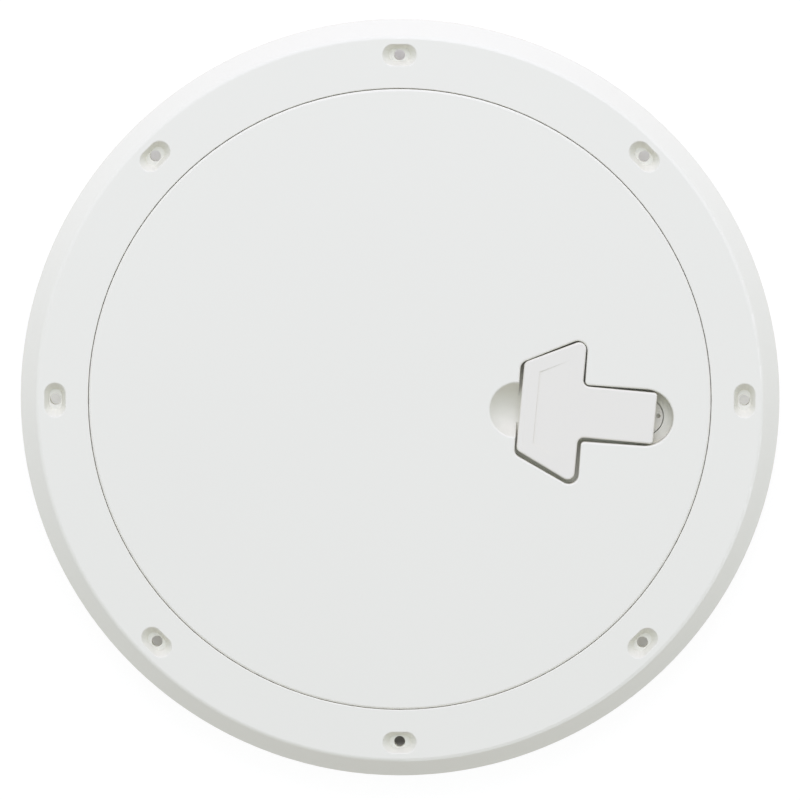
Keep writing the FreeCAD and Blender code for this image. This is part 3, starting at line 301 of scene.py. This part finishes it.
def paint_light_on_seam(material):
    """Painted light: mixes the moulding's colour towards a paler one on the walls of the seam."""
    tree = material.node_tree
    colour = tree.nodes["skin"].inputs["Colour"]
    parts = split(tree, object_place(tree))
    past_lid = math_node(tree, "SUBTRACT", from_z_axis(tree, parts), lid_radius)
    near = fade_node(tree, math_node(tree, "ABSOLUTE", past_lid), *SEAM_REACH)
    depth = math_node(tree, "SUBTRACT", lid_top, parts["Z"])
    below_edge = fade_node(tree, depth, *SEAM_START)
    above_end = fade_node(tree, depth, *SEAM_END)
    # Painted light: the walls of the seam are made paler, so that their shade comes out lighter
    painted_light_mask = math_node(tree, "MULTIPLY", near, math_node(tree, "MULTIPLY", below_edge, above_end))
    painted_light_colour = two_colours(tree, painted_light_mask, colour.default_value, (*SEAM_PAINTED_LIGHT_COLOUR, 1))
    tree.links.new(painted_light_colour, colour)


paint_light_on_seam(white_moulding)
print("seam at radius", round(lid_radius, 4), "written as", SEAM_PAINTED_LIGHT_COLOUR)

# %% [markdown]
# The pin, the washers and the screw are plain stainless steel. Turned and stamped parts this
# small carry fine rings about their axis, which stretch the highlights. The rings are noise
# read along the distance from the spindle's axis. A Mapping node moves the centre there.

# %% The turned steel
STEEL_DARK = (0.50, 0.50, 0.49, 1)
STEEL_LIGHT = (0.68, 0.68, 0.67, 1)
STEEL_ROUGHNESS = 0.18
RING_SCALE = 6000.0
RING_SPREAD = 0.25
RING_DEPTH = 0.25
RING_HEIGHT = 0.00002


def make_steel():
    """Stainless steel with fine rings about the spindle's axis."""
    material, tree, shader = new_material("stainless")
    shader.inputs["Metallic"].default_value = 1.0
    centred = tree.nodes.new("ShaderNodeMapping")
    centred.inputs["Location"].default_value = (-spindle_axis.x, -spindle_axis.y, 0)
    tree.links.new(object_place(tree), centred.inputs["Vector"])
    parts = split(tree, centred.outputs["Vector"])
    rings = tree.nodes.new("ShaderNodeCombineXYZ")
    tree.links.new(from_z_axis(tree, parts), rings.inputs["X"])
    tree.links.new(parts["Z"], rings.inputs["Z"])
    marks = noise_node(tree, rings.outputs["Vector"], RING_SCALE, detail=3.0)
    tree.links.new(two_colours(tree, marks, STEEL_DARK, STEEL_LIGHT), shader.inputs["Base Color"])
    spread = math_node(tree, "MULTIPLY", marks, RING_SPREAD)
    rough = math_node(tree, "ADD", spread, STEEL_ROUGHNESS)
    tree.links.new(rough, shader.inputs["Roughness"])
    bump = tree.nodes.new("ShaderNodeBump")
    bump.inputs["Strength"].default_value = RING_DEPTH
    bump.inputs["Distance"].default_value = RING_HEIGHT
    tree.links.new(marks, bump.inputs["Height"])
    tree.links.new(bump.outputs["Normal"], shader.inputs["Normal"])
    return material


stainless = make_steel()
print("steel centred on", round(spindle_axis.x, 4), round(spindle_axis.y, 4))

# %% [markdown]
# The CAD pieces keep their own meshes, because their shapes are right. Each one only gets its
# finish, by putting the material into the slot that its object already has.

# %% Give every piece its finish
finishes = {
    white_moulding: ("frame", "lid"),
    latch_moulding: ("handle", "spindle"),
    stainless: ("hinge_pin", "cam_washer", "lock_washer", "cam_screw"),
    seal_rubber: ("lid_seal", "spindle_o_ring"),
    latch_nylon: ("cam", "thrust_washer"),
}
for material, names in finishes.items():
    for name in names:
        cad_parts[name].material_slots[0].material = material
    print(material.name, "on", ", ".join(names))

# %% [markdown]
# The photograph has a pure white background, but the light on the plate is far from even. Both
# can be had at once, because Light Path tells the rays that look at the background from the
# rays that carry light. One small function makes that choice for the floor and the surround.

# %% Which rays see the background
def background_share(tree):
    """One for rays that come straight from the camera, nought for those that carry light."""
    return tree.nodes.new("ShaderNodeLightPath").outputs["Is Camera Ray"]


print("white for rays from the camera only")

# %% [markdown]
# The floor is a plain pale sheet on which the plate stands. Round the plate it glows white to
# the camera, with a little of its own shading kept for the shadow. Under the plate that glow
# stops, and the sheet shows through the eight screw holes by the light that gets in from the
# side. The photograph has seven pale holes there and one dark one, at the lower edge. So three
# zones are told apart by the distance from the axis and by Y: the floor outside, the strip
# under the flange, where a dim painted glow is added at the left and right, and the end of that
# strip at the lower edge, where painted shade darkens the sheet. Every zone fades into the next,
# so that no edge shows from the side.

# %% The zones of the floor, where painted glow and painted shade go
SPIGOT_RADIUS = 0.1575
SPIGOT_FADE = 0.006
# As at the seam, each pair is where a fade is at nought and where it is at one
OUTSIDE_FADE = (flange_radius - 0.012, flange_radius - 0.001)
PAINTED_GLOW_SIDES_FADE = (0.16, 0.04)
PAINTED_SHADE_LOWER_END_FADE = (-0.13, -0.165)


def make_zone_group():
    """Where a point of the floor lies: round the plate, at its sides, where painted glow goes, or
    at its lower edge, where painted shade goes.
    """
    labels = ("Outside", "Sides Painted Glow", "Lower End Painted Shade")
    group, _, result = new_group(
        "floor_zones", [], [(label, "NodeSocketFloat") for label in labels])
    place = object_place(group)
    reach = group.nodes.new("ShaderNodeVectorMath")
    reach.operation = "LENGTH"
    group.links.new(place, reach.inputs[0])
    outside = fade_node(group, reach.outputs["Value"], *OUTSIDE_FADE)
    beyond_spigot = fade_node(
        group, reach.outputs["Value"], SPIGOT_RADIUS - SPIGOT_FADE, SPIGOT_RADIUS)
    under_flange = math_node(group, "SUBTRACT", beyond_spigot, outside)
    along = split(group, place)["Y"]
    painted_glow_beside = fade_node(group, math_node(group, "ABSOLUTE", along), *PAINTED_GLOW_SIDES_FADE)
    painted_shade_below = fade_node(group, along, *PAINTED_SHADE_LOWER_END_FADE)
    zones = (outside, math_node(group, "MULTIPLY", under_flange, painted_glow_beside),
             math_node(group, "MULTIPLY", under_flange, painted_shade_below))
    for label, zone in zip(labels, zones):
        group.links.new(zone, result.inputs[label])
    return group


zone_group = make_zone_group()
print("group", zone_group.name, "with", len(zone_group.nodes), "nodes")

# %% [markdown]
# One diffuse shader and one emission make the floor. The camera sees a darker diffuse and a
# bright glow outside the plate, and a dim painted glow under the flange at the left and right.
# All other rays see a plain pale sheet, which sends soft light back up under the flange. For all
# rays the sheet is painted darker under the flange at the lower edge, as painted shade. Its
# colour is a little cream, like the moulding, so that it looks neutral under the blue of the
# daylight.

# %% The floor
FLOOR_COLOUR = (0.79, 0.775, 0.71, 1)
SHADOW_COLOUR = (0.14, 0.137, 0.125, 1)
GLOW_OUTSIDE = 0.9
# Painted glow under the flange at the left and right, and painted shade at its lower end
PAINTED_GLOW_SIDES = 0.28
PAINTED_SHADE_LOWER_END = 0.7
FLOOR_HALF_WIDTH = 6.0


def make_floor_material():
    """A pale sheet that glows white to the camera round the plate, with painted glow and painted
    shade under the flange.
    """
    material, tree, shader = new_material("studio_floor")
    tree.nodes.remove(shader)
    zones = tree.nodes.new("ShaderNodeGroup")
    zones.node_tree = zone_group
    seen = background_share(tree)
    seen_outside = math_node(tree, "MULTIPLY", seen, zones.outputs["Outside"])
    seen_painted_glow_sides = math_node(tree, "MULTIPLY", seen, zones.outputs["Sides Painted Glow"])
    # Painted shade: the sheet under the flange's lower end is darkened for all rays
    lower_end_painted_shade = math_node(tree, "MULTIPLY", zones.outputs["Lower End Painted Shade"], -PAINTED_SHADE_LOWER_END)
    colour = two_colours(tree, seen_outside, FLOOR_COLOUR, SHADOW_COLOUR)
    sheet = tree.nodes.new("ShaderNodeBsdfDiffuse")
    painted_shade_colour = scaled(tree, colour, math_node(tree, "ADD", lower_end_painted_shade, 1.0))
    tree.links.new(painted_shade_colour, sheet.inputs["Color"])
    # Painted glow: a dim emission under the flange at the left and right, seen by the camera only
    bright = math_node(tree, "MULTIPLY", seen_outside, GLOW_OUTSIDE)
    painted_glow_strength = math_node(tree, "MULTIPLY", seen_painted_glow_sides, PAINTED_GLOW_SIDES)
    backdrop_and_painted_glow = tree.nodes.new("ShaderNodeEmission")
    tree.links.new(math_node(tree, "ADD", bright, painted_glow_strength), backdrop_and_painted_glow.inputs["Strength"])
    both = tree.nodes.new("ShaderNodeAddShader")
    tree.links.new(sheet.outputs["BSDF"], both.inputs[0])
    tree.links.new(backdrop_and_painted_glow.outputs["Emission"], both.inputs[1])
    tree.links.new(both.outputs["Shader"], tree.nodes["Material Output"].inputs["Surface"])
    return material


def make_floor():
    """The sheet on which the plate stands, as wide as any view needs."""
    mesh = bpy.data.meshes.new("studio_floor")
    sheet = bmesh.new()
    bmesh.ops.create_grid(sheet, x_segments=1, y_segments=1, size=FLOOR_HALF_WIDTH)
    bmesh.ops.translate(sheet, verts=sheet.verts, vec=(0, 0, floor_height))
    sheet.to_mesh(mesh)
    sheet.free()
    floor = bpy.data.objects.new("studio_floor", mesh)
    bpy.context.scene.collection.objects.link(floor)
    mesh.materials.append(make_floor_material())
    return floor


print(make_floor().name, "at z", round(floor_height, 4))

# %% [markdown]
# The surround stands for the room. Its brightness follows the direction along Y: dim and warm
# before the plate's lower edge, bright overhead, and about half as bright low down beyond the
# upper edge, where the lamp takes over. These numbers were not guessed. The plate was rendered
# under each light alone, and since light adds up, a least-squares fit to the photograph's tones
# on the lid, round the bevel and in the recesses gave the share of each one.

# %% The surround
ROOM_LIGHT = {"before plate": (0.30, 0.21, 0.18, 1), "overhead": (1.035, 1.16, 1.325, 1),
              "beyond plate": (0.54, 0.46, 0.50, 1)}


def make_surround():
    """Light from all round the plate, which looks plain white to the camera."""
    world = bpy.data.worlds.new("studio_surround")
    bpy.context.scene.world = world
    world.use_nodes = True
    tree = world.node_tree
    direction = tree.nodes.new("ShaderNodeTexCoord").outputs["Generated"]
    toward = tree.nodes.new("ShaderNodeMapRange")
    toward.inputs["From Min"].default_value = -1.0
    tree.links.new(split(tree, direction)["Y"], toward.inputs["Value"])
    ramp = tree.nodes.new("ShaderNodeValToRGB")
    ramp.color_ramp.elements[0].color = ROOM_LIGHT["before plate"]
    ramp.color_ramp.elements[1].color = ROOM_LIGHT["beyond plate"]
    ramp.color_ramp.elements.new(0.5).color = ROOM_LIGHT["overhead"]
    tree.links.new(toward.outputs["Result"], ramp.inputs["Fac"])
    room = tree.nodes["Background"]
    tree.links.new(ramp.outputs["Color"], room.inputs["Color"])
    white = tree.nodes.new("ShaderNodeBackground")
    white.inputs["Color"].default_value = (1, 1, 1, 1)
    choice = tree.nodes.new("ShaderNodeMixShader")
    tree.links.new(background_share(tree), choice.inputs["Fac"])
    tree.links.new(room.outputs["Background"], choice.inputs[1])
    tree.links.new(white.outputs["Background"], choice.inputs[2])
    tree.links.new(choice.outputs["Shader"], tree.nodes["World Output"].inputs["Surface"])


make_surround()
print("room light", ROOM_LIGHT)

# %% [markdown]
# The photograph was lit by one broad, soft light from beyond the plate's upper edge: the bevel
# is brightest there, and darkest at the lower edge. A large area lamp gives that, with shadows
# that fade quickly. The lamp's tint is that of daylight, and the surround fills in the rest.

# %% The lamp
LAMP_POWER = 62.0
LAMP_DISTANCE = 3.4
LAMP_SIZE = 2.8
LAMP_TINT = (1.0, 1.01, 1.34)
LAMP_HEIGHT = math.radians(42)


def aim_matrix(position, target, up):
    """Turns a lamp or camera, which look along their own -Z, from a position to a target."""
    back = (position - target).normalized()
    right = up.cross(back).normalized()
    turn = Matrix((right, back.cross(right), back)).transposed()
    return Matrix.Translation(position) @ turn.to_4x4()


lamp_data = bpy.data.lights.new("window_light", "AREA")
lamp_data.shape = "SQUARE"
lamp_data.size = LAMP_SIZE
lamp_data.energy = LAMP_POWER
lamp_data.color = LAMP_TINT
lamp = bpy.data.objects.new("window_light", lamp_data)
bpy.context.scene.collection.objects.link(lamp)
lamp_place = Vector((0, math.cos(LAMP_HEIGHT), math.sin(LAMP_HEIGHT))) * LAMP_DISTANCE
lamp.matrix_world = aim_matrix(lamp_place, Vector(), Vector((0, 0, 1)))
print("lamp at", [round(value, 3) for value in lamp_place], "power", LAMP_POWER)

# %% [markdown]
# The photograph was taken from a little beyond the plate's upper edge, almost straight down and
# from a good distance. This is known from the circles: the lid's circle, which lies higher than
# the flange's edge, sits slightly lower in the picture. The camera's lens follows from how many
# pixels a metre takes at that distance.

# %% The camera
PICTURE_WIDTH = 800
CAMERA_DISTANCE = 3.0
TILT = math.radians(4.6)
SIDE_STEP = math.radians(0.9)
PIXELS_PER_METRE = 2022.3
AIM = Vector((0.0001, -0.0006, 0))

camera_data = bpy.data.cameras.new("camera")
focal_pixels = PIXELS_PER_METRE * CAMERA_DISTANCE
camera_data.lens = camera_data.sensor_width * focal_pixels / PICTURE_WIDTH
camera = bpy.data.objects.new("camera", camera_data)
bpy.context.scene.collection.objects.link(camera)
upward = math.sqrt(1 - math.sin(TILT) ** 2 - math.sin(SIDE_STEP) ** 2)
camera_place = AIM + Vector((math.sin(SIDE_STEP), math.sin(TILT), upward)) * CAMERA_DISTANCE
camera.matrix_world = aim_matrix(camera_place, AIM, Vector((0, 1, 0)))
bpy.context.scene.camera = camera
bpy.context.scene.view_settings.view_transform = "Standard"
print("lens", round(camera_data.lens, 1), "mm at", [round(value, 3) for value in camera_place])

# %% [markdown]
# Nothing here may make the plate larger than the CAD model says. The box round the plate that
# was measured before anything was added is printed. Only finishes were added, so this is the
# plate's size.

# %% Sizes, and the end
print("CAD box", [[round(value, 4) for value in corner] for corner in cad_box])
